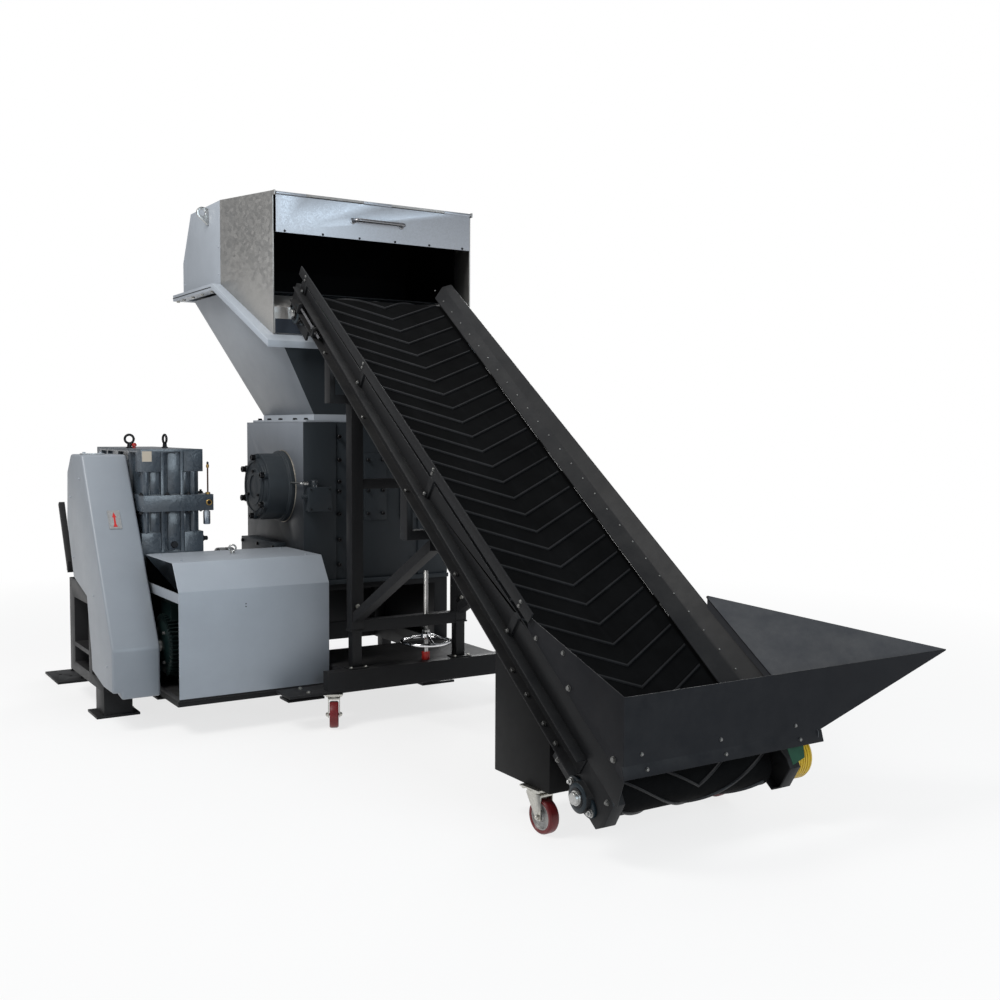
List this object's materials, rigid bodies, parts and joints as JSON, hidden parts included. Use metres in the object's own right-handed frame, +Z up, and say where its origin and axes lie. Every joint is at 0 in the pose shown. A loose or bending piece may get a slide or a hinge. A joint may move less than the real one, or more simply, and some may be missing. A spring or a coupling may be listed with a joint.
{
  "type": "twin-shaft shredder with infeed conveyor",
  "caption": "Twin-shaft shredder on a floor stand with a hooded infeed chute, a geared belt drive on its left and an inclined belt conveyor that lifts material from a low hopper to the hood",
  "frame": {"origin": "on the floor, at the centre of the four anchor holes in the shredder's floor feet", "axes": "+Y runs from the feed hopper to the shredder, along the machine's length; +X is to the right seen from the hopper, with the drive on the -X side; +Z is up"},
  "size_m": [2.472, 4.147, 2.575],
  "materials": {
    "painted_light_grey": "semi-gloss light grey paint",
    "painted_anthracite": "semi-gloss dark blue-grey paint",
    "painted_slate": "satin slate-grey paint",
    "painted_black": "satin near-black paint",
    "galvanised": "spangled zinc coating",
    "bright_steel": "plain machined steel",
    "zinc_plated": "zinc-plated pressed steel",
    "cutter_steel": "hardened tool steel",
    "handwheel_chrome": "polished chrome",
    "belt_rubber": "black rubber, matt",
    "castor_red": "red polyurethane tyre on its hub",
    "signal_yellow": "semi-gloss yellow paint",
    "sleeve_red": "red paint",
    "cast_grey": "painted cast iron, dark blue-grey gloss"
  },
  "bodies": {
    "machine": {"chamber_left_wall": "painted_anthracite", "chamber_right_wall": "painted_anthracite", "chamber_front_wall": "painted_anthracite", "chamber_back_wall": "painted_anthracite", "bearing_drum_left": "painted_anthracite", "bearing_drum_right": "painted_anthracite", "junction_box": "painted_anthracite", "gear_case": "painted_anthracite", "drive_motor": "painted_anthracite", "rotor_front": "cutter_steel", "rotor_rear": "cutter_steel", "hood_body": "painted_light_grey", "belt_guard": "painted_light_grey", "motor_cover": "painted_light_grey", "chute_collar": "painted_light_grey", "infeed_chute": "painted_light_grey", "hood_flange": "painted_light_grey", "feed_hopper": "painted_slate", "hood_front": "galvanised", "mouth_sill_panel": "galvanised", "lifting_lugs": "bright_steel", "conveyor_bed": "bright_steel", "tail_pulley": "bright_steel", "head_pulley": "bright_steel", "gearbox_eyebolts": "bright_steel", "motor_slide": "bright_steel", "drive_coupling": "bright_steel", "chamber_stand": "painted_black", "base_frame": "painted_black", "stringer_left": "painted_black", "stringer_right": "painted_black", "tail_end_plates": "painted_black", "head_end_plates": "painted_black", "side_guard_left": "painted_black", "side_guard_right": "painted_black", "front_support": "painted_black", "undercarriage": "painted_black", "belt_saddles": "painted_black", "drive_base": "painted_black", "discharge_bay": "painted_black", "tension_lever": "painted_black", "conveyor_belt": "belt_rubber", "tail_motor_cap": "signal_yellow", "spindle_sleeve": "sleeve_red", "gearbox": "cast_grey"},
    "flap": {"hood_flap": "galvanised", "flap_handle": "bright_steel"},
    "handwheel": {"handwheel": "handwheel_chrome"},
    "castor_rear_left": {"castor_fork_rear_left": "zinc_plated"},
    "wheel_rear_left": {"castor_wheel_rear_left": "castor_red"},
    "castor_rear_right": {"castor_fork_rear_right": "zinc_plated"},
    "wheel_rear_right": {"castor_wheel_rear_right": "castor_red"},
    "castor_front_left": {"castor_fork_front_left": "zinc_plated"},
    "wheel_front_left": {"castor_wheel_front_left": "castor_red"},
    "castor_front_right": {"castor_fork_front_right": "zinc_plated"},
    "wheel_front_right": {"castor_wheel_front_right": "castor_red"}
  },
  "joints": [
    {"name": "flap_hinge", "type": "hinge", "parent": "machine", "child": "flap", "pos_m": [0, -0.397, 2.563], "axis": [1, 0, 0], "range_deg": [-95, 0]},
    {"name": "handwheel_spin", "type": "hinge", "parent": "machine", "child": "handwheel", "pos_m": [0.025, -0.877, 0.4], "axis": [0, 0, 1], "continuous": true},
    {"name": "castor_swivel_rear_left", "type": "hinge", "parent": "machine", "child": "castor_rear_left", "pos_m": [-0.48, -0.897, 0.145], "axis": [0, 0, 1], "continuous": true},
    {"name": "castor_roll_rear_left", "type": "hinge", "parent": "castor_rear_left", "child": "wheel_rear_left", "pos_m": [-0.49424, -0.92897, 0.0625], "axis": [0.9135, -0.4067, 0], "continuous": true},
    {"name": "castor_swivel_rear_right", "type": "hinge", "parent": "machine", "child": "castor_rear_right", "pos_m": [0.48, -0.897, 0.145], "axis": [0, 0, 1], "continuous": true},
    {"name": "castor_roll_rear_right", "type": "hinge", "parent": "castor_rear_right", "child": "wheel_rear_right", "pos_m": [0.46576, -0.92897, 0.0625], "axis": [0.9135, -0.4067, 0], "continuous": true},
    {"name": "castor_swivel_front_left", "type": "hinge", "parent": "machine", "child": "castor_front_left", "pos_m": [-0.474, -2.598, 0.145], "axis": [0, 0, 1], "continuous": true},
    {"name": "castor_roll_front_left", "type": "hinge", "parent": "castor_front_left", "child": "wheel_front_left", "pos_m": [-0.47156, -2.63292, 0.0625], "axis": [0.9976, 0.0698, 0], "continuous": true},
    {"name": "castor_swivel_front_right", "type": "hinge", "parent": "machine", "child": "castor_front_right", "pos_m": [0.324, -2.598, 0.145], "axis": [0, 0, 1], "continuous": true},
    {"name": "castor_roll_front_right", "type": "hinge", "parent": "castor_front_right", "child": "wheel_front_right", "pos_m": [0.32644, -2.63292, 0.0625], "axis": [0.9976, 0.0698, 0], "continuous": true}
  ]
}
